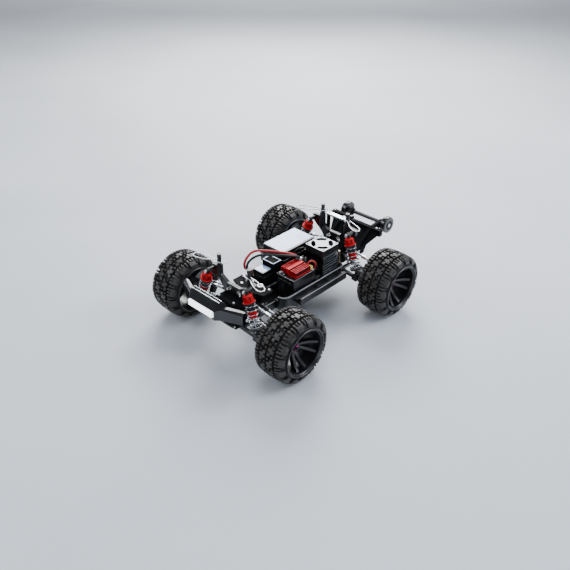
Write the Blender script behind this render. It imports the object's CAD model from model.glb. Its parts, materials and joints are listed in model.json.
import json
import math

import bmesh
import bpy
from mathutils import Matrix, Vector


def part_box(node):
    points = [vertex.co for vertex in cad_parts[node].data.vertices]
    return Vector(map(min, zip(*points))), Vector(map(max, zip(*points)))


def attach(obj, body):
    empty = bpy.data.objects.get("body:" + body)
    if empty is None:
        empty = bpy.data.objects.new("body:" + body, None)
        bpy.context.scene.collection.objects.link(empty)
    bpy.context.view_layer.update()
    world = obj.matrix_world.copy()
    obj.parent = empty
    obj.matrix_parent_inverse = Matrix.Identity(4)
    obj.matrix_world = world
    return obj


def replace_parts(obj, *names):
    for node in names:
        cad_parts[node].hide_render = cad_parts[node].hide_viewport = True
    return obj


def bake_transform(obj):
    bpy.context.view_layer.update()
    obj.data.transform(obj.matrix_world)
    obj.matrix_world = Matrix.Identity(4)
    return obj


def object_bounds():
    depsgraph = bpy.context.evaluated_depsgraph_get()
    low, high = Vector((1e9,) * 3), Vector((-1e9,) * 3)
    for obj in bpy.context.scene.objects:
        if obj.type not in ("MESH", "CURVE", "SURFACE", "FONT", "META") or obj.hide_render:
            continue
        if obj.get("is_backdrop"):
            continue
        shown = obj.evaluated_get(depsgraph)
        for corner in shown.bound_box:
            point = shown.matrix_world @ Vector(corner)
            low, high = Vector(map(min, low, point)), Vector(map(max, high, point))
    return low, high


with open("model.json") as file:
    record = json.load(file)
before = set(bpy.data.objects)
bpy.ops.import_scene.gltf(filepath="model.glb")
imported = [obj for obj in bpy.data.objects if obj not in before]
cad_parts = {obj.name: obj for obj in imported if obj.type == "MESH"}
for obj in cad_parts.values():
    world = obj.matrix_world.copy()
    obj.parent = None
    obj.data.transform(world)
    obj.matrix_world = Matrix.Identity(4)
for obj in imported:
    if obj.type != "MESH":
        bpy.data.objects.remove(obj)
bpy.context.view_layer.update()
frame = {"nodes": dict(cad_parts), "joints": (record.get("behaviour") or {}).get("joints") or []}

# Camera, floor and light
# The camera stands ahead of the truck's left front wheel and well above it, as the photographer did.
# The floor is matt pale paint. Large soft boxes above and behind lay long highlights on the black mouldings.
mm = 0.001
view_from = Vector((612.65, 565.2, 580.4)) * mm
view_to = Vector((21.13, -0.38, 45)) * mm
lens = bpy.data.cameras.new("camera")
lens.lens = 42.18
lens.clip_start = 0.02
camera = bpy.data.objects.new("camera", lens)
camera.location = view_from
camera.rotation_euler = (view_to - view_from).to_track_quat("-Z", "Y").to_euler()
put_in_scene = bpy.context.scene.collection.objects.link
put_in_scene(camera)
bpy.context.scene.camera = camera


def linear(code):
    """Red, green, blue and alpha of an sRGB hex colour, made linear."""
    shares = [int(code[k:k + 2], 16) / 255 for k in (1, 3, 5)]
    return [c / 12.92 if c <= 0.04045 else ((c + 0.055) / 1.055) ** 2.4 for c in shares] + [1.0]


def add_node(tree, kind, sockets={}, stops={}, **settings):
    """Adds a shader node. Each socket takes a value or another node's output, and stops colour a ramp."""
    node = tree.nodes.new("ShaderNode" + kind)
    for key, value in settings.items():
        setattr(node, key, value)
    for k, place in enumerate(sorted(stops)):
        stop = node.color_ramp.elements[k] if k < 2 else node.color_ramp.elements.new(place)
        stop.position = place
        stop.color = linear(stops[place])
    for key, value in sockets.items():
        if isinstance(value, bpy.types.NodeSocket):
            tree.links.new(value, node.inputs[key])
        else:
            node.inputs[key].default_value = value
    return node


def surface(name, shades, patch, gloss, grain, relief, fixed={}, stretch=(1, 1, 1), stops=(0.3, 0.7)):
    """A material whose colour and roughness drift over patches and whose grain stands in relief.

    Sizes are in mm. The real grain is mostly finer, and is drawn as coarse as it needs to show.
    """
    material = bpy.data.materials.new(name)
    material.use_nodes = True
    tree = material.node_tree
    shader = tree.nodes["Principled BSDF"]
    for key, value in fixed.items():
        shader.inputs[key].default_value = value
    place = add_node(tree, "TexCoord").outputs["Object"]
    drawn = add_node(tree, "Mapping", {"Vector": place, "Scale": stretch}).outputs["Vector"]
    clouds = add_node(tree, "TexNoise", {"Vector": drawn, "Scale": 1 / (patch * mm), "Detail": 5.0})
    drift = clouds.outputs["Fac"]
    shade = add_node(tree, "ValToRGB", {"Fac": drift}, dict(zip(stops, shades)))
    tree.links.new(shade.outputs["Color"], shader.inputs["Base Color"])
    dull = add_node(tree, "MapRange", {"Value": drift, "From Min": 0.3, "From Max": 0.7,
                                       "To Min": gloss[0], "To Max": gloss[1]})
    tree.links.new(dull.outputs["Result"], shader.inputs["Roughness"])
    pits = add_node(tree, "TexNoise", {"Vector": drawn, "Scale": 1 / (grain * mm), "Detail": 3.0})
    skin = add_node(tree, "Bump", {"Height": pits.outputs["Fac"], "Distance": relief * mm, "Strength": 0.6})
    tree.links.new(skin.outputs["Normal"], shader.inputs["Normal"])
    return material


# Matt wall paint on a smooth floor: an even pale tone that only just clouds
floor_paint = surface("matt floor paint", ("#cdd2d8", "#d8dce1"), 400, (0.55, 0.7), 2, 0.02)
slab = bmesh.new()
bmesh.ops.create_grid(slab, x_segments=8, y_segments=8, size=4)
floor_mesh = bpy.data.meshes.new("floor")
slab.to_mesh(floor_mesh)
slab.free()
floor_mesh.materials.append(floor_paint)
floor = bpy.data.objects.new("floor", floor_mesh)
put_in_scene(floor)
floor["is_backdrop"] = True

studio = bpy.data.worlds.new("studio")
studio.use_nodes = True
studio.node_tree.nodes["Background"].inputs["Color"].default_value = linear("#dfe7f2")
studio.node_tree.nodes["Background"].inputs["Strength"].default_value = 0.3
bpy.context.scene.world = studio


def soft_box(name, place, size, power, tint, aim=view_to):
    """A square of light that faces the middle of the truck or another point."""
    lamp = bpy.data.lights.new(name, "AREA")
    lamp.size = size
    lamp.energy = power
    lamp.color = linear(tint)[:3]
    stand = bpy.data.objects.new(name, lamp)
    stand.location = place
    stand.rotation_euler = (Vector(aim) - Vector(place)).to_track_quat("-Z", "Y").to_euler()
    put_in_scene(stand)


soft_box("key_box", (-1.02, -0.9, 1.05), 1.1, 42, "#ffffff")
soft_box("rim_box", (-1.0, 0.95, 1.05), 0.9, 24, "#f2f6ff")
soft_box("top_box", (0.1, 0.1, 1.5), 0.8, 8, "#eef4ff")
soft_box("front_box", (1.3, 0.75, 0.5), 0.9, 5, "#f3f6ff")
soft_box("edge_box", (0.95, -0.95, 1.05), 0.7, 9, "#f2f6ff")
soft_box("far_box", (-2.5, -2.3, 1.5), 2.0, 40, "#ffffff", (-2.5, -2.3, 0))

# Leads and plug
# Two silicone-covered battery leads rise from a plug beside the servo and arch over to the speed controller.
# Three motor leads and the fan's thin lead leave its rear end. All are stranded wire in soft sleeves.
pivot = {joint["name"]: Vector(joint["pos_m"]) / mm for joint in frame["joints"] if "pos_m" in joint}
middle = (pivot["wheel_fl_spin"] + pivot["wheel_rr_spin"]) / 2


def spot(x, y, z):
    """A point measured from the middle of the wheelbase at the height of the wheel axles."""
    return middle + Vector((x, y, z))


def through(points, steps):
    """Points of one smooth curve through the given ones."""
    ends = [points[0], *points, points[-1]]
    curve = []
    for a, b, c, d in zip(ends, ends[1:], ends[2:], ends[3:]):
        for k in range(steps):
            t = k / steps
            curve.append(b + (c - a) * (t / 2) + (a - b * 2.5 + c * 2 - d * 0.5) * t ** 2
                         + (b * 1.5 - a * 0.5 - c * 1.5 + d * 0.5) * t ** 3)
    return [*curve, points[-1]]


def bent_wire(name, points, radius, material, body):
    """A wire or lead of round section along one open line of points."""
    line = bpy.data.curves.new(name, "CURVE")
    line.dimensions = "3D"
    line.bevel_depth = radius * mm
    line.bevel_resolution = 4
    line.use_fill_caps = True
    spline = line.splines.new("POLY")
    spline.points.add(len(points) - 1)
    for knot, point in zip(spline.points, points):
        knot.co = (*(point * mm), 1)
    spline.use_smooth = True
    line.materials.append(material)
    wire = bpy.data.objects.new(name, line)
    put_in_scene(wire)
    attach(wire, body)
    return wire


def free_lead(name, route, radius, material):
    """A lead of limp wire through the given points, held at both ends."""
    run = through(route, 6)
    lead = bent_wire(name, run, radius, material, "chassis")
    return lead


# Silicone rubber sleeve: soft sheen, faint handling marks
red_silicone = surface("red silicone rubber", ("#a80f17", "#c4161d"), 9, (0.34, 0.5), 0.6, 0.01,
                       {"Sheen Weight": 0.15, "Coat Weight": 0.1})
black_silicone = surface("black silicone rubber", ("#101012", "#19191b"), 9, (0.36, 0.52), 0.6,
                         0.01, {"Sheen Weight": 0.15})
battery_lead_r, motor_lead_r, fan_lead_r = 1.8, 1.25, 0.9
red_route = [spot(*p) for p in (
    (42, -37, 26), (46, -37.5, 28), (48, -38.5, 34), (45, -38.5, 42), (37, -36.5, 50), (29.52, -30, 54),
    (18.83, -20, 53), (8.13, -10, 51), (-3.48, 0, 47.5), (-11.48, 4, 43.5), (-15.5, 7, 38), (-15.5, 7.5, 33),
    (-15.5, 7.5, 30.2))]
black_route = [spot(*p) for p in (
    (42, -33, 26), (46, -33, 28), (48, -33, 34), (45, -33, 40), (37, -31, 45), (29.52, -25, 48.5),
    (18.83, -15, 48.5), (8.13, -5, 47.5), (-2.56, 4, 45.5), (-11.48, 9, 43), (-15.5, 11.8, 38),
    (-15.5, 12.2, 33), (-15.5, 12.2, 30.2))]
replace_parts(free_lead("battery_lead_red", red_route, battery_lead_r, red_silicone), "wiring")
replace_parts(free_lead("battery_lead_black", black_route, battery_lead_r, black_silicone), "wiring")

# Every motor lead has the same steps in x and z, and crosses from its start over its drop to its end in y
motor_steps = ((-15.5, 30.2), (-15.5, 33.5), (-16.8, 38.2), (-20, 40.2), (-23.2, 38.2), (-24.5, 34),
               (-24.5, 29), (-26.2, 24.5), (-28.4, 22.1), (-30.9, 22))
crossed = (0, 0, 0.15, 0.5, 0.85, 1, 1, 1, 1, 1)
for k, (start, drop, end) in enumerate(((16.5, 8, 8), (21, 14, 14), (25.5, 33.5, 27))):
    route = []
    for j, (x, z) in enumerate(motor_steps):
        last = min(max(j - 5, 0) / 3, 1)
        route.append(spot(x, start * (1 - crossed[j]) + drop * (crossed[j] - last) + end * last, z))
    sleeve = red_silicone if k == 2 else black_silicone
    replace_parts(free_lead(f"motor_lead_{k + 1}", route, motor_lead_r, sleeve), "wiring")
fan_route = [spot(*p) for p in (
    (-34.4, 8, 46.5), (-30.5, 6.5, 48.6), (-25.5, 5.5, 50.2), (-21, 3, 49.4), (-18.8, -0.6, 45.4),
    (-19.2, -3, 40), (-20.4, -2.6, 34.4), (-21.2, 0.6, 29.8), (-20.6, 4.4, 27.6), (-18.7, 6.4, 27.2))]
free_lead("fan_lead", fan_route, fan_lead_r, black_silicone)


def round_edges(bm, edges, radius, steps):
    """Rounds some edges of a mesh."""
    bmesh.ops.bevel(bm, geom=edges, offset=radius, offset_type="OFFSET", segments=steps, profile=0.5,
                    affect="EDGES", clamp_overlap=True, material=-1)


def block(bm, low, high, edge, paint=0, steps=2):
    """A block between two corners with rounded edges."""
    old = set(bm.faces)
    size = Vector(high) - Vector(low)
    place = Matrix.Translation((Vector(low) + Vector(high)) / 2) @ Matrix.Diagonal((*size, 1))
    made = bmesh.ops.create_cube(bm, size=1, matrix=place)
    round_edges(bm, list({line for v in made["verts"] for line in v.link_edges}), edge, steps)
    for face in bm.faces:
        if face not in old:
            face.material_index = paint


def fit(name, bm, materials, body, slot, *stands_for, crease=40):
    """Makes a piece of a mesh drawn in mm, lets it ride on a body and stand for CAD nodes."""
    bmesh.ops.scale(bm, vec=(mm, mm, mm), verts=bm.verts)
    mesh = bpy.data.meshes.new(name)
    bm.to_mesh(mesh)
    bm.free()
    for material in materials:
        mesh.materials.append(material)
    mesh.shade_smooth()
    mesh.set_sharp_from_angle(angle=math.radians(crease))
    piece = bpy.data.objects.new(name, mesh)
    put_in_scene(piece)
    if body:
        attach(piece, body)
    if stands_for:
        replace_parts(piece, *stands_for)
    level = piece.modifiers.new("level_normals", "WEIGHTED_NORMAL")
    level.keep_sharp = True
    return piece


# Polyamide plug housing: translucent amber brown, waxy
amber_nylon = surface("amber polyamide", ("#6e3520", "#93502f"), 6, (0.34, 0.48), 0.5, 0.01,
                      {"Coat Weight": 0.15})
plug_low, plug_high = Vector((37.5, -38.6, 16.05)), Vector((43.5, -31.4, 26.2))
grip_proud = 0.3
plug = bmesh.new()
block(plug, spot(*plug_low), spot(*plug_high), 0.8)
for k in range(4):
    z = 18 + 1.8 * k
    block(plug, spot(plug_low.x - grip_proud, plug_low.y - grip_proud, z),
          spot(plug_high.x + grip_proud, plug_high.y + grip_proud, z + 0.9), 0.3)
fit("battery_plug", plug, [amber_nylon], "chassis", "lead_silicone", "wiring")

# Chassis tub
# One deep nylon moulding with a turned-out rim, a rail along each side, the spine under both gearboxes
# and a raised battery tray. Screws hold the gearboxes from below, the front corners and the steering
# brace, which has two flanged steel bushes.


def softened(node, edge, paint=None):
    """A CAD node with its sharp edges rounded. paint picks a solid's material from its two corners."""
    bm = bmesh.new()
    bm.from_mesh(frame["nodes"][node].data)
    bmesh.ops.scale(bm, vec=(1 / mm, 1 / mm, 1 / mm), verts=bm.verts)
    bmesh.ops.remove_doubles(bm, verts=bm.verts, dist=0.003)
    bmesh.ops.dissolve_limit(bm, angle_limit=math.radians(0.5), verts=bm.verts, edges=bm.edges)
    left = set(bm.faces)
    while left:
        solid = [left.pop()]
        for face in solid:
            near = {other for line in face.edges for other in line.link_faces} & left
            left -= near
            solid.extend(near)
        corners = [v.co for face in solid for v in face.verts]
        low = Vector(min(c[k] for c in corners) for k in range(3))
        high = Vector(max(c[k] for c in corners) for k in range(3))
        for face in solid:
            face.material_index = paint(low, high) if paint else 0
    sharp = [line for line in bm.edges if line.is_manifold and line.calc_face_angle() > math.radians(28)]
    round_edges(bm, sharp, edge, 2)
    return bm


def lathe(bm, outline, at, along, steps=32, paint=0, ring=False):
    """Turns an outline of radius and height pairs about an axis through a point."""
    old = set(bm.faces)
    turn = Vector((0, 0, 1)).rotation_difference(Vector(along)).to_matrix()
    knots = [bm.verts.new(Vector(at) + turn @ Vector((r, 0, h))) for r, h in outline]
    lines = [bm.edges.new(pair) for pair in zip(knots, knots[1:])]
    if ring:
        lines.append(bm.edges.new((knots[-1], knots[0])))
    bmesh.ops.spin(bm, geom=knots + lines, cent=at, axis=along, dvec=(0, 0, 0), angle=math.tau, steps=steps,
                   use_merge=True)
    made = [face for face in bm.faces if face not in old]
    bmesh.ops.remove_doubles(bm, verts=list({v for face in made for v in face.verts}), dist=0.001)
    made = [face for face in bm.faces if face not in old]
    bmesh.ops.recalc_face_normals(bm, faces=made)
    for face in made:
        face.material_index = paint
    return made


def screw(bm, at, out, r=1.7, high=1.2, paint=0):
    """A button-head screw with a driver socket."""
    lathe(bm, [(0, high * 0.3), (r * 0.45, high * 0.3), (r * 0.5, high), (r * 0.72, high),
               (r * 0.95, high * 0.6), (r, 0), (r, -0.4), (0, -0.4)], at, out, 12, paint)


def metal(name, shades, patch, gloss, grain, relief, stretch=(1, 1, 1)):
    """A surface of bare or plated metal."""
    return surface(name, shades, patch, gloss, grain, relief, {"Metallic": 1.0}, stretch)


def steering_brace(low, high):
    """1, matt, for the thin brace over the steering, and 0 for the tub."""
    return 1 if high.z - low.z < 6 else 0


# Glass-filled nylon, moulded in a lightly blasted tool: satin black with a broken sheen
satin_nylon = surface("glass-filled nylon", ("#0d0d0f", "#18181a"), 16, (0.3, 0.46), 0.5, 0.015,
                      {"Coat Weight": 0.12, "Coat Roughness": 0.3})
# Nylon from a coarsely blasted tool: flat black, hardly any sheen
matt_nylon = surface("blasted nylon", ("#0b0b0c", "#131315"), 14, (0.62, 0.78), 0.5, 0.03,
                     {"Specular IOR Level": 0.06})
# Edges of the moulding, polished by handling: dark grey with a crisp highlight
edge_nylon = surface("polished nylon edge", ("#4d4e52", "#6c6d72"), 10, (0.18, 0.3), 0.5, 0.006,
                     {"Coat Weight": 0.5, "Coat Roughness": 0.12})
# Zinc-plated steel: bright, faintly streaked by turning
bright_steel = metal("zinc-plated steel", ("#b9bdc2", "#d9dce0"), 5, (0.16, 0.3), 0.4, 0.006)
tub = softened("chassis_tub", 1.4, steering_brace)
fit("chassis_tub_moulding", tub, [satin_nylon, matt_nylon], "chassis", "chassis_plastic", "chassis_tub")

# The rim's bead turns a quarter round at each corner, about a centre at corner_y
rim_top, rim_r, corner_y = 13, 10.5, 32
rear_corner_x, front_corner_x = -69.9, 40
rail_top, rail_y = 7.3, 52.1
quarter = [math.radians(9 * j) for j in range(11)]
corner_arc = [(rim_r * math.sin(a), corner_y + rim_r * math.cos(a)) for a in quarter]
rim_line = [(rear_corner_x - x, y) for x, y in reversed(corner_arc)]
rim_line += [(front_corner_x + x, y) for x, y in corner_arc]
for side, hand in ((1, "left"), (-1, "right")):
    rim_edge = [spot(x, side * y, rim_top) for x, y in rim_line]
    bent_wire(f"tub_rim_bead_{hand}", rim_edge, 1.1, edge_nylon, "chassis")
    rail_edge = [spot(x, side * rail_y, rail_top) for x in (-71, -20, 26)]
    bent_wire(f"rail_bead_{hand}", rail_edge, 1.0, edge_nylon, "chassis")

axle_x = (pivot["wheel_fl_spin"] - middle).x
floor_bottom, brace_top, pillar_top = -8, 28, 4
fixings = bmesh.new()
for end in (-1, 1):
    for x in (-13, 13):
        for y in (-10, 10):
            screw(fixings, spot(end * axle_x + x, y, floor_bottom), (0, 0, -1), 2.4, 0.5)
for side in (-1, 1):
    pillar = [(0, -5.6), (3.2, -5.6), (2.8, 3.4), (2.4, pillar_top), (0, pillar_top)]
    lathe(fixings, pillar, spot(41.5, side * 34, 0), (0, 0, 1), 20, 1)
    screw(fixings, spot(41.5, side * 34, pillar_top), (0, 0, 1), 2.1)
    screw(fixings, spot(76.2, side * 14, brace_top), (0, 0, 1), 2.2)
    screw(fixings, spot(62, side * 25, brace_top), (0, 0, 1), 1.8)
    bush = spot(63.5, side * 9, brace_top)
    flange = [(2.8, -0.3), (4.5, -0.3), (4.5, 0.7), (4.1, 1.1), (2.8, 1.1)]
    lathe(fixings, flange, bush, (0, 0, 1), 24, 0, True)
    lathe(fixings, [(0, -0.3), (2.8, -0.3), (2.8, 0.4), (0, 0.4)], bush, (0, 0, 1), 20, 1)
fit("tub_screws", fixings, [bright_steel, satin_nylon], "chassis", "steel")

# Gearboxes
# Each is a nylon box in two halves round its differential, screwed together from above. Steel pins through
# its ears carry the lower arms and the upper links.


def long_pin(low, high):
    """1, steel, for a thin solid that lies along the truck, and 0 for any other."""
    return 1 if high.x - low.x > 10 and high.z - low.z < 4.5 and high.y - low.y < 4.5 else 0


gearbox_top, gearbox_end, gearbox_side = 28, 18, 17.9
for end, sign in (("front", 1), ("rear", -1)):
    x = sign * axle_x
    box = softened(f"{end}_gearbox", 0.7, long_pin)
    for ahead in (-14.5, 14.5):
        for y in (-14, 14):
            screw(box, spot(x + ahead, y, gearbox_top), (0, 0, 1), 1.9, paint=1)
    for y in (-12, 12):
        for z in (2, 21):
            screw(box, spot(x + sign * gearbox_end, y, z), (sign, 0, 0), 1.7, paint=1)
    for k in range(-2, 3):
        for side in (-1, 1):
            rib = spot(x + k * 6.5, side * gearbox_side, 11)
            block(box, rib - Vector((0.6, 0.7, 0)), rib + Vector((0.6, 0.7, 6)), 0.3)
    fit(f"{end}_gearbox_case", box, [matt_nylon, bright_steel], "chassis", "chassis_plastic",
        f"{end}_gearbox")

# Shock towers, body posts and clips
# A nylon plate with two horns stands on each gearbox. Round posts in its seats hold a body shell, and a
# clip of spring steel is pushed through each. A black bridge with a bright front bar stiffens the rear one.


def bridge_plate(low, high):
    """2, matt, for the rear tower's bridge, and 0 for the tower and its posts."""
    return 2 if high.x - low.x > 12 and high.y - low.y < 42 else 0


# Hard drawn spring wire, plated: a clean bright line
clip_steel = metal("plated spring wire", ("#c2c6cb", "#e2e5e8"), 4, (0.12, 0.24), 0.4, 0.004)
clip_wire_r = 0.75
clip_loop = [(-11, 0.2), (-5, 0), (0, 0), (13, 0), (27, 0), (34, 0.7), (38.6, 3.4), (39.4, 7.4),
             (36.4, 10.6), (29.5, 11.2), (20, 9.2), (12, 6), (6, 4.6), (1.6, 5.4), (-2.6, 5.6),
             (-6.4, 3.6), (-10.6, 4.8)]
# Each screw: how far ahead, across and up it sits, then its head's radius and height
tower_screws = ((16.8, 37, 57, 2.5, 1.4), (1, 12.5, 33, 2, 1.2), (1, 27, 44, 1.6, 1))
bridge_top, bar_back, bar_low = 68, -11.5, 64.5
for end, x, post_y, hole_z, heading in (("front", axle_x, 29, 70, 81), ("rear", -axle_x, 24, 73.5, 70)):
    tower = softened(f"{end}_shock_tower", 0.9, bridge_plate)
    for face in tower.faces:
        over = face.calc_center_median() - spot(x, 0, 0)
        if face.material_index == 2 and over.x > bar_back and over.z > bar_low:
            face.material_index = 1
    for side in (-1, 1):
        for ahead, y, z, r, high in tower_screws:
            screw(tower, spot(x + ahead, side * y, z), (1, 0, 0), r, high, 1)
        screw(tower, spot(x - 4, side * 12.5, 33), (-1, 0, 0), 2, 1.2, 1)
        for behind in (20.5, 8) if end == "rear" else ():
            screw(tower, spot(x - behind, side * 16, bridge_top), (0, 0, 1), 1.8, 1, 1)
    fit(f"{end}_tower_plate", tower, [satin_nylon, bright_steel, matt_nylon], "chassis", "chassis_plastic",
        f"{end}_shock_tower")
    for side, hand in ((1, "left"), (-1, "right")):
        away = Vector((math.cos(math.radians(heading)), side * math.sin(math.radians(heading)), 0))
        across = Vector((away.y, -away.x, 0)) * side
        post = spot(x - 1.5, side * post_y, hole_z)
        clip = through([post + away * a + across * b for a, b in clip_loop], 5)
        bent_wire(f"body_clip_{end}_{hand}", clip, clip_wire_r, clip_steel, "chassis")

# Front bumper and light bar
# The bumper is polished ABS with a leaning brow, two swept wings and a pair of struts to the gearbox. Two
# bright wires lie along its flat black top. The light bar is a frosted lens in its face, lit from behind by
# a row of lamps.

# Polished ABS: deep gloss with faint swirl marks
gloss_abs = surface("polished ABS", ("#08080a", "#101013"), 30, (0.09, 0.2), 1.2, 0.004,
                    {"Coat Weight": 0.5, "Coat Roughness": 0.06})
brow_top, brow_half_w = 51, 27
bumper = softened("front_bumper", 1.1)
for x in (147.9, 152.1):
    block(bumper, spot(x - 0.4, -brow_half_w, brow_top + 0.4),
          spot(x + 0.4, brow_half_w, brow_top + 1.7), 0.3, 2)
for face in bumper.faces:
    place = face.calc_center_median() - middle
    level = face.normal.z > 0.9 and place.z > brow_top
    if face.material_index == 0 and level and abs(place.y) < brow_half_w + 1:
        face.material_index = 1
fit("front_bumper_moulding", bumper, [gloss_abs, matt_nylon, clip_steel], "chassis", "bumper_plastic",
    "front_bumper")


def node_box(node):
    """The two corners of a CAD node's box, in mm."""
    return [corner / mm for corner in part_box(node)]


# Frosted polycarbonate lit from behind: white, a little stronger over each of eight lamps
lamp_spacing = 5.75
lit_lens = bpy.data.materials.new("frosted polycarbonate")
lit_lens.use_nodes = True
glow = lit_lens.node_tree
glow_shader = glow.nodes["Principled BSDF"]
glow_shader.inputs["Roughness"].default_value = 0.35
glow_shader.inputs["Emission Color"].default_value = linear("#f2f7ff")
lens_place = add_node(glow, "TexCoord").outputs["Object"]
lamps = add_node(glow, "TexWave", {"Vector": lens_place, "Scale": math.tau / (20 * lamp_spacing * mm)},
                 bands_direction="Y")
lamp_power = add_node(glow, "MapRange", {"Value": lamps.outputs["Fac"], "To Min": 2.2, "To Max": 3.4})
glow.links.new(lamp_power.outputs["Result"], glow_shader.inputs["Emission Strength"])
lens_tint = add_node(glow, "ValToRGB", {"Fac": lamps.outputs["Fac"]}, {0.0: "#e6edf7", 1.0: "#ffffff"})
glow.links.new(lens_tint.outputs["Color"], glow_shader.inputs["Base Color"])
light = bmesh.new()
block(light, *node_box("light_bar"), 0.4, steps=3)
fit("light_bar_lens", light, [lit_lens], "chassis", "light_lens", "light_bar")

# Wheelie bar
# Two nylon arms with a sloping web and a cross bar reach back from the rear gearbox, and a steel axle at
# their ends carries two small rubber rollers that stop the truck tipping over backwards.
bar = softened("wheelie_bar", 0.8)
for side in (-1, 1):
    for x, z in ((-128, 11.5), (-165, 36)):
        screw(bar, spot(x, side * 31, z), (0, side, 0), 1.9, paint=1)
    screw(bar, spot(-160.5, side * 38, 41), (0, 0, 1), 1.8, paint=1)
fit("wheelie_bar_moulding", bar, [matt_nylon, bright_steel], "chassis", "chassis_plastic", "wheelie_bar")

# Hard rubber from a polished mould: near black with a clear highlight
roller_rubber = surface("hard rubber", ("#0f0f0f", "#1a1918"), 6, (0.16, 0.3), 0.5, 0.006,
                        {"Coat Weight": 0.4, "Coat Roughness": 0.1})
roller_at = pivot["wheelie_wheels_spin"]
roller_low, roller_high = node_box("wheelie_wheels")
roller_r = (roller_high.z - roller_low.z) / 2
roller_axle = [(0, -45), (1.5, -45), (2, -44.4), (2, 44.4), (1.5, 45), (0, 45)]
roller_sleeve = [(1.9, -25.6), (2.9, -25.6), (3.2, -25.2), (3.2, 25.2), (2.9, 25.6), (1.9, 25.6)]
roller_face = [(-1.4, 34), (-0.4, 34.6), (0, 36), (0, 38.4), (-0.5, 38.7), (-0.5, 39.3), (0, 39.6), (0, 42),
               (-0.4, 43.4), (-1.4, 44)]
roller_ring = [(7.4, 34.3), *[(roller_r + r, y) for r, y in roller_face], (7.4, 43.7)]
roller_hub = [(2, 31.6), (3.4, 31.6), (3.4, 34.6), (7.5, 35), (7.5, 43), (6.9, 43.4), (6.3, 42), (4.2, 41.4),
              (4.2, 43.6), (2, 43.6)]
roller_nut = [(0, 44.8), (1.6, 44.8), (2.9, 44.6), (2.9, 43.4), (0, 43.4)]
rollers = bmesh.new()
lathe(rollers, roller_axle, roller_at, (0, 1, 0), 20, 1)
lathe(rollers, roller_sleeve, roller_at, (0, 1, 0), 24, 2, True)
for side in (-1, 1):
    lathe(rollers, roller_ring, roller_at, (0, side, 0), 40, 0, True)
    lathe(rollers, roller_hub, roller_at, (0, side, 0), 32, 2, True)
    lathe(rollers, roller_nut, roller_at, (0, side, 0), 6, 1)
fit("wheelie_rollers", rollers, [roller_rubber, bright_steel, satin_nylon], "wheelie_wheels",
    "wheelie_rubber", "wheelie_wheels")

# Battery pack
# A hard black case in two welded halves lies in the tray, with a pale film label over most of its top. The
# label is left blank.

# Gloss ABS case: smooth, with a slight moulding haze
case_abs = surface("gloss ABS case", ("#0b0b0d", "#141416"), 24, (0.16, 0.3), 0.9, 0.006,
                   {"Coat Weight": 0.25, "Coat Roughness": 0.12})
# Laminated label film: pale blue white, glossy, with barely visible clouding
label_film = surface("laminated label film", ("#a3c4f0", "#c3dafa"), 30, (0.14, 0.24), 1.6, 0.004,
                     {"Coat Weight": 0.4, "Coat Roughness": 0.08})
pack_low, pack_high = node_box("battery_pack")
case_top = pack_high.z - 0.3
seam = (pack_low.z + case_top) / 2
half_gap, seam_in, pack_edge = 0.25, 0.6, 1.3
battery = bmesh.new()
block(battery, pack_low, (pack_high.x, pack_high.y, seam - half_gap), pack_edge, steps=3)
block(battery, (pack_low.x, pack_low.y, seam + half_gap), (pack_high.x, pack_high.y, case_top), pack_edge,
      steps=3)
block(battery, pack_low + Vector((seam_in, seam_in, 2)),
      (pack_high.x - seam_in, pack_high.y - seam_in, case_top - 2), 0.6)
block(battery, (pack_low.x + 1.4, pack_low.y + 1.6, case_top - 0.2),
      (pack_high.x - 1.4, pack_high.y - 3.4, pack_high.z), 0.15, 1)
fit("battery_case", battery, [case_abs, label_film], "chassis", "battery_case", "battery_pack")

# Motor, heat sink and fan
# The motor's steel can lies along the truck on a passivated mounting plate. An extruded aluminium sink is
# clamped over it, with fins along its outer side, and a square cooling fan sits on top.


def motor_solid(low, high):
    """0 for the can, 1 for the end bell and 2 for the mounting plate."""
    if high.z - low.z > 35:
        return 2
    return 0 if high.x - low.x > 10 else 1


# Drawn steel can: dull silver, streaked along the draw
can_steel = metal("drawn steel", ("#4b4d51", "#6b6d72"), 4, (0.26, 0.4), 0.4, 0.006, (0.15, 1, 1))
# Passivated alloy plate: warm grey gold
plate_alloy = metal("passivated alloy", ("#a5967a", "#c4b697"), 6, (0.26, 0.4), 0.5, 0.006)
mount_x, motor_y, motor_z = -76.6, 17.5, 17.9
motor = softened("motor", 0.6, motor_solid)
for y in (-8, 8):
    screw(motor, spot(mount_x, motor_y + y, motor_z), (-1, 0, 0), 2.2, 1.4, 3)
fit("motor_can", motor, [can_steel, satin_nylon, plate_alloy, bright_steel], "chassis", "motor_steel",
    "motor")


def sink_or_fan(low, high):
    """0 for the sink and 1 for the fan's frame."""
    return 0 if high.z - low.z > 20 else 1


# Black anodised aluminium: even, slightly silky, drawn along the extrusion
black_anodised = surface("black anodised aluminium", ("#0c0c0e", "#161618"), 3, (0.26, 0.4), 0.35,
                         0.01, {"Metallic": 0.6}, (0.08, 1, 1))
# Pale ABS of the fan: clean off-white, satin
pale_abs = surface("pale ABS", ("#d5d9de", "#eceef1"), 18, (0.26, 0.4), 0.7, 0.008,
                   {"Coat Weight": 0.2})
# Fin edges milled after anodising: bare grey aluminium
milled_edge = metal("milled aluminium", ("#7c8086", "#a4a8ad"), 3, (0.3, 0.44), 0.35, 0.008, (0.08, 1, 1))
sink = softened("motor_heat_sink", 0.3, sink_or_fan)
sink_high = node_box("motor_heat_sink")[1]
for face in sink.faces:
    place = face.calc_center_median()
    if face.material_index == 1 and place.z > sink_high.z - 0.35:
        face.material_index = 2
    elif face.material_index == 0 and place.y > sink_high.y - 0.4:
        face.material_index = 3
fit("motor_sink_and_fan_frame", sink, [black_anodised, satin_nylon, pale_abs, milled_edge], "chassis",
    "sink_black", "motor_heat_sink")

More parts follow.
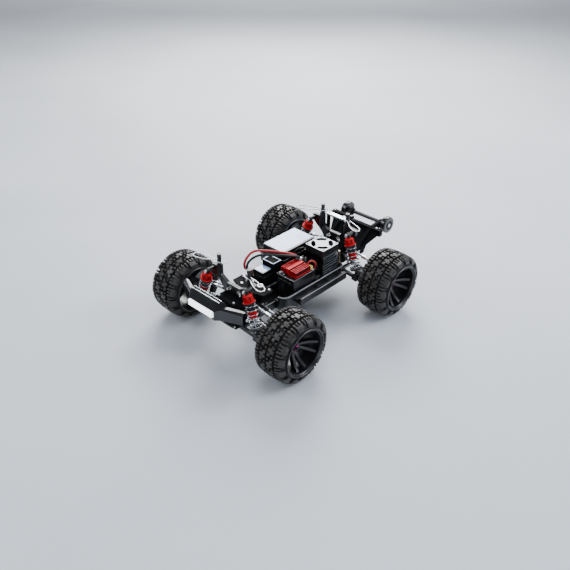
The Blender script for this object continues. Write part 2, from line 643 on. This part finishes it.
# The fan's hub is turned, and each blade is a thin plate set at a slant
fan_at = pivot["fan_rotor_spin"]
fan_low, fan_high = node_box("fan_rotor")
fan_h = fan_high.z - fan_low.z
blades, blade_reach, blade_half_l, blade_half_w, blade_t = 7, 11.6, 4.1, 3.9, 0.8
blade_place = (Matrix.Rotation(math.radians(38), 4, "X") @ Matrix.Translation((blade_reach, 0, 0))
               @ Matrix.Diagonal((blade_half_l, blade_half_w, 1, 1)))
fan_middle = Matrix.Translation((fan_at.x, fan_at.y, (fan_low.z + fan_high.z) / 2))
rotor = bmesh.new()
lathe(rotor, [(0, 0), (7.4, 0), (8, 0.5), (8, fan_h - 0.8), (7.2, fan_h), (0, fan_h)],
      (fan_at.x, fan_at.y, fan_low.z), (0, 0, 1), 40)
for k in range(blades):
    swept = bmesh.new()
    bmesh.ops.create_grid(swept, x_segments=6, y_segments=4, size=1, matrix=blade_place)
    bmesh.ops.solidify(swept, geom=swept.faces[:], thickness=blade_t)
    turn = Matrix.Rotation(math.tau * k / blades, 4, "Z")
    bmesh.ops.transform(swept, matrix=fan_middle @ turn, verts=swept.verts)
    blade = bpy.data.meshes.new("blade")
    swept.to_mesh(blade)
    swept.free()
    rotor.from_mesh(blade)
    bpy.data.meshes.remove(blade)
fit("fan_impeller", rotor, [satin_nylon], "fan_rotor", "fan_plastic", "fan_rotor")

# Speed controller and switch
# A black case with a red finned heat sink screwed to its lid. Small teal, white and yellow plugs sit
# behind the sink, and a slide switch stands in its seat at the front corner.


def case_or_sink(low, high):
    """0 for the controller's case and 1 for its sink."""
    return 0 if high.z - low.z > 20 else 1


# Red anodised aluminium: saturated red, silky along the cut
red_anodised = surface("red anodised aluminium", ("#b0030f", "#cf0d1b"), 4, (0.44, 0.58), 0.4,
                       0.008, {"Metallic": 0.1, "Specular IOR Level": 0.22})
# The same red deep between the fins, where dust and shade gather
red_slots = surface("red anodised slots", ("#2c0508", "#450a0e"), 4, (0.6, 0.75), 0.4, 0.008,
                    {"Specular IOR Level": 0.1})
lid_top, lid_back, lid_front, lid_right, lid_left = 30, -18.2, 26, 4.5, 37.5
fins_right, fins_left, fins_top = spot(0, 5.4, 0).y, spot(0, 34.6, 0).y, spot(0, 0, 33.5).z
control = softened("speed_controller", 0.3, case_or_sink)
for face in control.faces:
    place = face.calc_center_median()
    wall = abs(face.normal.y) > 0.8
    foot = face.normal.z > 0.8 and place.z < fins_top
    if face.material_index == 1 and fins_right < place.y < fins_left and (wall or foot):
        face.material_index = 3
lid_corners = [(lid_back, lid_right), (lid_back, lid_left), (lid_front, lid_left), (lid_front, lid_right)]
lid_line = [spot(x, y, lid_top - 0.1) for x, y in lid_corners + lid_corners[:1]]
bent_wire("controller_lid_edge", lid_line, 0.65, edge_nylon, "chassis")
screw(control, spot(-15.4, 36, lid_top), (0, 0, 1), 1.5, 1, 2)
block(control, spot(26.2, 7.5, 3), spot(26.9, 34.5, 24.5), 0.3)
for y in (12, 21, 30):
    block(control, spot(26.6, y - 0.8, 5), spot(27.4, y + 0.8, 22.5), 0.35)
fit("speed_controller_case", control, [case_abs, red_anodised, bright_steel, red_slots], "chassis",
    "controller", "speed_controller")

# Nylon plug housings: white, yellow and teal, slightly translucent
white_nylon = surface("natural nylon", ("#dfe0dc", "#f0f0ec"), 8, (0.3, 0.45), 0.5, 0.008)
yellow_nylon = surface("yellow nylon", ("#e0c565", "#f2de92"), 8, (0.3, 0.45), 0.5, 0.008)
teal_nylon = surface("teal nylon", ("#4f8f8c", "#74b0aa"), 8, (0.3, 0.45), 0.5, 0.008)
plugs = bmesh.new()
for x0, y0, x1, y1, top, paint in ((-18, 5.2, -13.1, 9.8, 39.4, 2), (-17.8, 10.2, -13.3, 14.2, 41, 0),
                                   (-18, 28.4, -13.4, 33.8, 34.8, 1)):
    block(plugs, spot(x0, y0, lid_top), spot(x1, y1, top), 0.6, paint)
    block(plugs, spot(x0 - 0.3, y0 - 0.3, lid_top), spot(x1 + 0.3, y1 + 0.3, lid_top + 1.6), 0.4, paint)
fit("controller_plugs", plugs, [white_nylon, yellow_nylon, teal_nylon], "chassis", "electronics")

switch_low, switch_high = node_box("power_switch")
slider = bmesh.new()
block(slider, switch_low, switch_high, 0.4)
for k in range(3):
    y = switch_low.y + 0.8 + 0.9 * k
    block(slider, (switch_low.x, y - 0.2, switch_high.z - 0.5), (switch_high.x, y + 0.2, switch_high.z),
          0.12)
fit("power_switch_slider", slider, [edge_nylon], "power_switch", "switch_plastic", "power_switch")

# Steering servo and receiver
# The servo is a black box with a pale blank label on its lid. Its horn works the steering rack. The
# receiver, a smaller black box with a pale border, sits on the servo's rear half.
servo_top, label_t = 32, 0.15
servo = softened("steering_servo", 0.7)
block(servo, spot(25.5, -24.6, servo_top - label_t), spot(41.6, -7.4, servo_top + label_t), 0.12, 1)
for x in (26.8, 40.4):
    for y in (-23.4, -8.6):
        screw(servo, spot(x, y, servo_top + 0.1), (0, 0, 1), 0.9, 0.4, 2)
for z in (4, 24):
    block(servo, spot(2.7, -26.3, z), spot(43.1, -5.7, z + 0.5), 0.1)
fit("steering_servo_case", servo, [case_abs, label_film, bright_steel], "chassis", "electronics",
    "steering_servo")
receiver = softened("receiver", 0.3)
receiver_top = node_box("receiver")[1].z
for face in receiver.faces:
    if face.normal.z > 0.3:
        face.material_index = 1 if face.calc_center_median().z > receiver_top - 0.25 else 0
fit("receiver_case", receiver, [matt_nylon, label_film], "chassis", "electronics", "receiver")
fit("servo_horn_arm", softened("servo_horn", 0.4), [satin_nylon], "servo_horn", "chassis_plastic",
    "servo_horn")

# Drive line
# Gears on steel shafts run the length of the truck, inside the gearboxes and along the tub. They stay as
# cut, so the CAD shapes show.

# Hardened steel: oiled grey, with a fine turned streak
gear_steel = metal("hardened steel", ("#6f7276", "#93979c"), 4, (0.24, 0.38), 0.4, 0.006)
for node in ("front_differential", "rear_differential", "drive_shaft", "motor_pinion"):
    cut = frame["nodes"][node].data
    cut.materials.clear()
    cut.materials.append(gear_steel)

# Steering rack and tie rods
# The rack slides across the truck on two posts. Each tie rod is a plated turnbuckle with a hexagon in its
# middle and a nylon eye at both ends.
corners = {"fl": (1, 1), "fr": (1, -1), "rl": (-1, 1), "rr": (-1, -1)}
fall = pivot["hub_fl_swing"] - pivot["arm_fl_swing"]
arm_len = fall.length
fit("steering_rack_bar", softened("steering_rack", 0.4), [satin_nylon], "steering_rack", "chassis_plastic",
    "steering_rack")


def reach(side):
    """The way from the inner pin of an arm or rod to its outer one, on the left or right side."""
    return Vector((0, side * fall.y, fall.z))


def turnbuckle(name, side, rod_r, end_r, on_stud=False):
    """A plated rod with a hexagon and two eyes round balls. The outer eye may have play on a stud."""
    start = pivot[f"{name}_swing"]
    run = reach(side).normalized()
    eyes = [(start, 2.5, 14, (1, 0, 0), False)]
    if on_stud:
        eyes.append((start + reach(side) + Vector((0.6, 0, 0)), arm_len - 3, arm_len - 14, (0, 0, 1), True))
    else:
        eyes.append((start + reach(side), arm_len - 2.5, arm_len - 14, (1, 0, 0), False))
    bm = bmesh.new()
    lathe(bm, [(0, 8), (rod_r, 8), (rod_r, arm_len - 8), (0, arm_len - 8)], start, run, 16, 0)
    for k in range(12):
        for s in (15 + 0.8 * k, arm_len - 15 - 0.8 * k):
            thread = [(rod_r * 0.9, s - 0.4), (rod_r + 0.18, s), (rod_r * 0.9, s + 0.4)]
            lathe(bm, thread, start, run, 12, 0)
    half, edge_r, hex_r = arm_len / 2, end_r - 0.2, end_r + 0.3
    lathe(bm, [(0, half - 4.4), (edge_r, half - 4.4), (hex_r, half - 3.8), (hex_r, half + 3.8),
               (edge_r, half + 4.4), (0, half + 4.4)], start, run, 6, 0)
    for at, near, far, out, loose in eyes:
        hole, wide, tall = (2.5, 3.9, 1.8) if loose else (1.6, 3.5, 2.4)
        lathe(bm, [(0, near), (end_r, near), (end_r, (near + far) / 2), (end_r - 0.5, far), (0, far)], start,
              run, 16, 1)
        lathe(bm, [(hole, 0.1 - tall), (wide - 0.6, -tall), (wide, 0.7 - tall), (wide, tall - 0.7),
                   (wide - 0.6, tall), (hole, tall - 0.1)], at, out, 24, 1, True)
        if not loose:
            lathe(bm, [(1.6, -2.4), (2.3, -1.6), (2.3, 1.6), (1.6, 2.4)], at, out, 20, 0)
    fit(f"{name}_turnbuckle", bm, [bright_steel, satin_nylon], name, "steel", name)


for hand, side in (("l", 1), ("r", -1)):
    turnbuckle(f"tie_rod_{hand}", side, 1.5, 2, on_stud=True)

# Suspension
# Wide nylon lower arms and plated upper links carry the wheels' hubs as parallelograms. Front hubs hold
# steering knuckles on king pins. Steel half shafts with ball ends run in the cups of the differentials and
# the stub axles.


def arm_solid(low, high):
    """1, steel, for the outer hinge pin or a bearing, and 0 for the moulding."""
    pin = min(high.y - low.y, high.z - low.z) < 4.5
    bearing = high.z - low.z < 10.5 and high.x - low.x < 10.5
    return 1 if pin or bearing else 0


def moulding(node, body, edge):
    """A nylon arm, hub or knuckle with its steel pin or bearing."""
    fit(f"{node}_moulding", softened(node, edge, arm_solid), [satin_nylon, bright_steel], body,
        "chassis_plastic", node)


shaft_r, ball_r, pin_r, pin_half = 1.75, 2.7, 0.6, 2.85
ball = [(ball_r * math.sin(a), -ball_r * math.cos(a)) for a in (math.radians(12 * j) for j in range(13))]
far_ball = [(r, arm_len - h) for r, h in reversed(ball)]
shaft_line = [*ball, (shaft_r, 4), (shaft_r, 16), (2.3, 17), (2.3, 19), (shaft_r, 20),
              (shaft_r, arm_len - 4), *far_ball]
cross_pin = [(0, -pin_half), (pin_r, -pin_half), (pin_r, pin_half), (0, pin_half)]
for k, (end, side) in corners.items():
    moulding(f"lower_arm_{k}", f"arm_{k}", 0.7)
    turnbuckle(f"upper_link_{k}", side, 1.7, 2.5)
    inner = pivot[f"half_shaft_{k}_swing"]
    run = reach(side).normalized()
    shaft = bmesh.new()
    lathe(shaft, shaft_line, inner, run, 24)
    for s in (0, arm_len):
        lathe(shaft, cross_pin, inner + run * s, (1, 0, 0), 12)
    fit(f"half_shaft_{k}_bar", shaft, [bright_steel], f"half_shaft_{k}", "steel", f"half_shaft_{k}")
    moulding(f"c_hub_{k}" if end > 0 else f"hub_carrier_{k}", f"hub_{k}", 0.5)
    if end > 0:
        moulding(f"knuckle_{k}", f"knuckle_{k}", 0.5)

# Shock absorbers
# Oil-filled cylinders with a red anodised, slotted cap and a black threaded collar. A steel rod runs out
# of each to a black lower cup, and a coil spring of plated wire stands between collar and cup.


def bearing_of(face, at, up):
    """How far round an axis a face stands, as an angle."""
    away = face.calc_center_median() - at
    return math.atan2(away.cross(up).x, away.x)


# Hard drawn spring wire, nickel plated: grey silver with bright streaks where it catches light
spring_steel = metal("nickel-plated spring wire", ("#85898e", "#b9bdc2"), 3, (0.16, 0.28), 0.4, 0.004)
# Heights run along the shock from its upper eye, so everything below that is negative
shock_lean, shock_rise = 21, 59
shock_len = math.hypot(shock_lean, shock_rise)
cup_z = 10.1 - shock_len
rod_end = 3 - shock_len
slot_z, collar_top, collar_foot = -9.8, -15, -26
spring_top, spring_foot = -17.1, cup_z + 0.1
coil_r, coil_wire = 7.6, 0.8
cylinder_line = [(0, -4.6), (4.6, -4.6), (6.2, -5.6), (6.7, -6.6), (6.7, -13), (6.2, -13.6), (6.2, -14.4),
                 (8.2, -14.5), (8.75, collar_top), (8.75, -16.6), (8.2, -17), (6, -17), (6, collar_foot),
                 (6, -36.4), (5.4, -37), (0, -37)]
cup_line = [(1.5, -4), (3.4, -4), (3.8, -2.6), (8.3, -2.5), (8.75, -2), (8.75, -0.4), (8.4, 0), (6.4, 0),
            (6.2, -0.8), (1.5, -0.8)]
for k in corners:
    top = pivot[f"shock_body_{k}_swing"]
    slide = next(j for j in frame["joints"] if j["name"] == f"shock_rod_{k}_slide")
    up = Vector(slide["axis"]).normalized()
    body = bmesh.new()
    cylinder = lathe(body, cylinder_line, top, up, 36)
    slots = [face for face in cylinder if abs((face.calc_center_median() - top).dot(up) - slot_z) < 0.5]
    slots.sort(key=lambda face: bearing_of(face, top, up))
    slots = [face for j, face in enumerate(slots) if j % 6 in (0, 1)]
    bmesh.ops.inset_region(body, faces=slots, thickness=0.35, depth=-1.1, use_even_offset=True)
    for face in slots:
        face.material_index = 1
    for face in cylinder:
        if face.is_valid and collar_foot - 0.1 < (face.calc_center_median() - top).dot(up) < collar_top:
            face.material_index = 1
    for z in (-20, -23, -26, -29, -32):
        lathe(body, [(5.8, z - 0.6), (6.3, z - 0.2), (6.3, z + 0.2), (5.8, z + 0.6)], top, up, 32,
              1 if z >= collar_foot else 0)
    lathe(body, [(0, -1.6), (2.6, -2), (2.6, -5), (0, -5)], top, up, 16, 1)
    lathe(body, [(1.6, -2.3), (2.9, -2.4), (3.5, -1.6), (3.5, 1.6), (2.9, 2.4), (1.6, 2.3)], top, (1, 0, 0),
          24, 1, True)
    lathe(body, [(1.55, -2.4), (2.3, -1.6), (2.3, 1.6), (1.55, 2.4)], top, (1, 0, 0), 20, 2)
    fit(f"shock_body_{k}_cylinder", body, [red_anodised, satin_nylon, bright_steel], f"shock_body_{k}",
        "shock_red", f"shock_body_{k}")
    rod = bmesh.new()
    lathe(rod, [(0, -22), (1.5, -22), (1.5, rod_end), (0, rod_end)], top, up, 16)
    lathe(rod, [(r, cup_z + z) for r, z in cup_line], top, up, 36, 1, True)
    lathe(rod, [(1.4, cup_z - 3.6), (2.8, cup_z - 3.6), (2.8, rod_end + 0.4), (1.4, rod_end + 0.4)], top, up,
          16, 1, True)
    lathe(rod, [(2.4, -2.3), (3, -2.4), (3.6, -1.6), (3.6, 1.6), (3, 2.4), (2.4, 2.3)], top - up * shock_len,
          (1, 0, 0), 24, 1, True)
    fit(f"shock_rod_{k}_shaft", rod, [bright_steel, satin_nylon], f"shock_rod_{k}", "steel",
        f"shock_rod_{k}")
    coil = bmesh.new()
    radial = up.cross(Vector((1, 0, 0))).normalized()
    loop = bmesh.ops.create_circle(coil, cap_ends=True, segments=10, radius=coil_wire)["verts"]
    seat = Matrix((radial, up, radial.cross(up))).transposed().to_4x4()
    bmesh.ops.transform(coil, matrix=seat, verts=loop)
    bmesh.ops.translate(coil, vec=top + radial * coil_r + up * (spring_top - coil_wire), verts=loop)
    last = coil.faces[:] + coil.edges[:] + coil.verts[:]
    drop = spring_foot - spring_top + 2 * coil_wire
    for turns, share in ((0.8, 0.05), (5, 0.9), (0.8, 0.05)):
        steps = round(24 * turns)
        last = bmesh.ops.spin(coil, geom=last, cent=top, axis=up, dvec=up * (drop * share / steps),
                              angle=math.tau * turns, steps=steps)["geom_last"]
    bmesh.ops.remove_doubles(coil, verts=coil.verts, dist=0.0005)
    bmesh.ops.recalc_face_normals(coil, faces=coil.faces)
    spring = fit(f"shock_spring_{k}_coil", coil, [spring_steel], None, "spring_steel", f"shock_spring_{k}")
    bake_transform(spring)

# Wheels
# Each tyre is a moulded rubber carcass with interlocking lugs and wide slotted shoulder blocks, glued to a
# deep nylon rim with ten spokes in pairs. The stub axle drives it through a hexagon, and a nut holds it.
tread_r, crown_r, shoulder_r = 43.2, 120, 6.0
crown_half = 17.0
crown_angle = math.asin(crown_half / crown_r)
crown_run = crown_r * crown_angle
hip_r = tread_r - crown_r + (crown_r - shoulder_r) * math.cos(crown_angle)
hip_y = (crown_r - shoulder_r) * math.sin(crown_angle)
pitches = 15
pitch = math.tau * tread_r / pitches


def on_tread(u, v, h):
    """A place round, across and above the carcass, on the wheel whose axle is the Y axis."""
    lift = h * (1 - 0.45 * max(abs(v) - 18, 0) / 7)
    if abs(v) < crown_run:
        a = v / crown_r
        r, y = tread_r - crown_r + (crown_r + lift) * math.cos(a), (crown_r + lift) * math.sin(a)
    else:
        a = crown_angle + (abs(v) - crown_run) / shoulder_r
        r = hip_r + (shoulder_r + lift) * math.cos(a)
        y = math.copysign(hip_y + (shoulder_r + lift) * math.sin(a), v)
    turn = u / tread_r
    return Vector((r * math.cos(turn), y, r * math.sin(turn)))


def prism(bm, outline, rise, edge, steps=1):
    """Pulls a flat outline along a vector and rounds the edges of its far face."""
    old = set(bm.faces)
    base = bm.faces.new([bm.verts.new(point) for point in outline])
    pulled = bmesh.ops.extrude_face_region(bm, geom=[base], use_keep_orig=True)["geom"]
    top = [part for part in pulled if isinstance(part, bmesh.types.BMFace)][0]
    bmesh.ops.translate(bm, vec=rise, verts=top.verts)
    bmesh.ops.recalc_face_normals(bm, faces=[face for face in bm.faces if face not in old])
    round_edges(bm, top.edges[:], edge, steps)


# Soft tyre rubber: warm charcoal, dull in the grooves and scuffed to a grey sheen on the lugs
tread_rubber = surface("tyre tread rubber", ("#1f1d1b", "#2d2a27", "#403b36"), 5, (0.36, 0.55), 0.5, 0.03,
                       stops=(0.3, 0.55, 0.75))
groove_rubber = surface("tyre carcass rubber", ("#0d0c0c", "#161514"), 8, (0.45, 0.65), 0.5, 0.02)
# Satin nylon rim with a faint violet cast
rim_nylon = surface("satin rim nylon", ("#121114", "#1d1b20"), 14, (0.26, 0.4), 0.5, 0.01,
                    {"Coat Weight": 0.25, "Coat Roughness": 0.2})
# Violet anodised nut and washer: dark, with a magenta glint
violet_alloy = surface("violet anodised aluminium", ("#4d1740", "#7a2a60"), 3, (0.2, 0.34), 0.4,
                       0.006, {"Metallic": 0.8})
# Oil-blackened steel of the stub axle: dark, with a soft metal glint
black_steel = metal("blackened steel", ("#26272a", "#3a3b3f"), 4, (0.3, 0.44), 0.4, 0.006)

# One pitch of the tread laid out flat: how far round and how far across
crossed_lug = [(0, -10.8), (4.6, -10.8), (4.6, -8), (6, -8), (6, -10.8), (10.8, -10.8), (10.8, -6),
               (14.6, -6), (14.6, -1.3), (10.2, -1.3), (10.2, -4), (8.8, -4), (8.8, -1.3), (4.2, -1.3),
               (4.2, -6), (0, -6)]
small_lug = [(13, -10.8), (15.9, -10.8), (15.9, -8), (13, -8)]
chip_lug = [(-1, -3.9), (1.8, -3.9), (1.8, -1.3), (-1, -1.3)]
shoulder_lug = [(0.6, 13.4), (3.6, 13.4), (3.6, 18.4), (5, 18.4), (5, 13.4), (7.4, 13.4), (7.4, 18.4),
                (8.8, 18.4), (8.8, 13.4), (12, 13.4), (12, 21.4), (10.4, 24.4), (2.2, 24.4), (0.6, 21.4)]
wedge_lug = [(14.2, 14.4), (16.6, 14.4), (16.6, 20.8), (14.2, 20.8)]
lug_root, lug_edge = -0.4, 0.6
# Each row: its lugs, their height, how many pitches on its other half is, and which way round that runs
lug_rows = (((crossed_lug, small_lug, chip_lug), 5, 1.35, -1), ((shoulder_lug, wedge_lug), 4.9, 0.5, 1))
half_tread = [on_tread(0, v, 0) for v in (0, 4, 8, 12, 15, 17, 18.5, 20, 21.5, 23, 24.5, 25.4)]
wall = [(p.x, p.y) for p in half_tread] + [(36.4, 22.6), (35.6, 23.2), (35, 23.2), (34.7, 24), (33.1, 24)]
carcass_line = [*reversed(wall), *[(r, -y) for r, y in wall[1:]]]
barrel_line = [(34.5, 24.3), (34.5, 25.6), (34, 26.1), (33.1, 26.1), (32.6, 25.6), (32.2, 24),
               (31.6, 23.4), (30.9, 23.4), (30.4, 22.8), (30.4, 21.4), (31.2, 20.6), (31.2, 16), (31.4, -23),
               (32.4, -25.6), (33, -26.1), (34, -26.1), (34.5, -25.6), (34.5, -24.3), (33, -24), (33, 24)]
spoke = [(7, -2), (7, 5.4), (13, 6.6), (23, 11), (31.3, 18.5), (31.3, 8), (22, 4), (13, 0)]
spoke_w, spoke_pair = 4.2, 5.04
hub_line = [(2.6, -6.2), (9.5, -6.2), (9.5, 5.6), (9, 6.6), (8, 7), (7.4, 6.4), (5.6, 6.2), (5.2, 7.5),
            (2.6, 7.5)]
axle_line = [(0, -11.4), (3.1, -11.4), (3.1, -16.5), (4.4, -16.5), (4.4, -10), (3.8, -9.5), (2.5, -9.5),
             (2.5, 10.9), (2, 11.5), (0, 11.5)]
hexagon_line = [(2.5, -6), (6, -6), (6.4, -5.6), (6.4, -2.6), (6, -2.2), (2.5, -2.2)]
washer_line = [(2.5, 7.5), (4.9, 7.5), (4.9, 8), (2.5, 8)]
nut_line = [(2.5, 8), (3.9, 8), (4.2, 8.4), (4.2, 10), (3.8, 10.4), (2.5, 10.4)]
for k, (_, side) in corners.items():
    at = pivot[f"wheel_{k}_spin"]
    out = Vector((0, side, 0))
    lugs = bmesh.new()
    for outlines, high, shift, way in lug_rows:
        for outline in outlines:
            for half in (outline, [(pitch * shift + way * u, -v) for u, v in outline]):
                prism(lugs, [Vector((u, v, lug_root)) for u, v in half], (0, 0, high), lug_edge)
    for v in (14, 16, 18, 20, 22, 23.2):
        for sign in (-1, 1):
            bmesh.ops.bisect_plane(lugs, geom=lugs.verts[:] + lugs.edges[:] + lugs.faces[:],
                                   plane_co=(0, sign * v, 0), plane_no=(0, 1, 0))
    for v in lugs.verts:
        v.co = on_tread(v.co.x * side, v.co.y, v.co.z)
    bmesh.ops.recalc_face_normals(lugs, faces=lugs.faces)
    bmesh.ops.spin(lugs, geom=lugs.verts[:] + lugs.edges[:] + lugs.faces[:], cent=(0, 0, 0), axis=(0, 1, 0),
                   dvec=(0, 0, 0), angle=math.tau * (pitches - 1) / pitches, steps=pitches - 1,
                   use_duplicate=True)
    lathe(lugs, carcass_line, (0, 0, 0), (0, 1, 0), 96, 1, True)
    bmesh.ops.translate(lugs, vec=at, verts=lugs.verts)
    fit(f"tyre_{k}", lugs, [tread_rubber, groove_rubber], f"wheel_{k}", "tyre_rubber", f"wheel_{k}",
        crease=50)
    rim = bmesh.new()
    lathe(rim, barrel_line, at, out, 80, 0, True)
    for j in range(10):
        turn = Matrix.Rotation(math.radians(36 * j + (spoke_pair if j % 2 == 0 else -spoke_pair)), 3, out)
        bar_side = turn @ Vector((0, 0, 1))
        bar_out = turn @ Vector((1, 0, 0))
        bar_face = [at + bar_out * r + out * v - bar_side * (spoke_w / 2) for r, v in spoke]
        prism(rim, bar_face, bar_side * spoke_w, 0.9, steps=2)
    lathe(rim, hub_line, at, out, 40, 0, True)
    fit(f"rim_{k}", rim, [rim_nylon], f"wheel_{k}", "chassis_plastic", f"wheel_{k}")
    axle = bmesh.new()
    lathe(axle, axle_line, at, out, 32, 2)
    lathe(axle, hexagon_line, at, out, 6, 0, True)
    lathe(axle, washer_line, at, out, 32, 1, True)
    lathe(axle, nut_line, at, out, 6, 1, True)
    fit(f"stub_axle_{k}", axle, [bright_steel, violet_alloy, black_steel], f"wheel_{k}", "steel",
        f"wheel_{k}")

# The CAD box and the finished object's box, side by side
low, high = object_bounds()
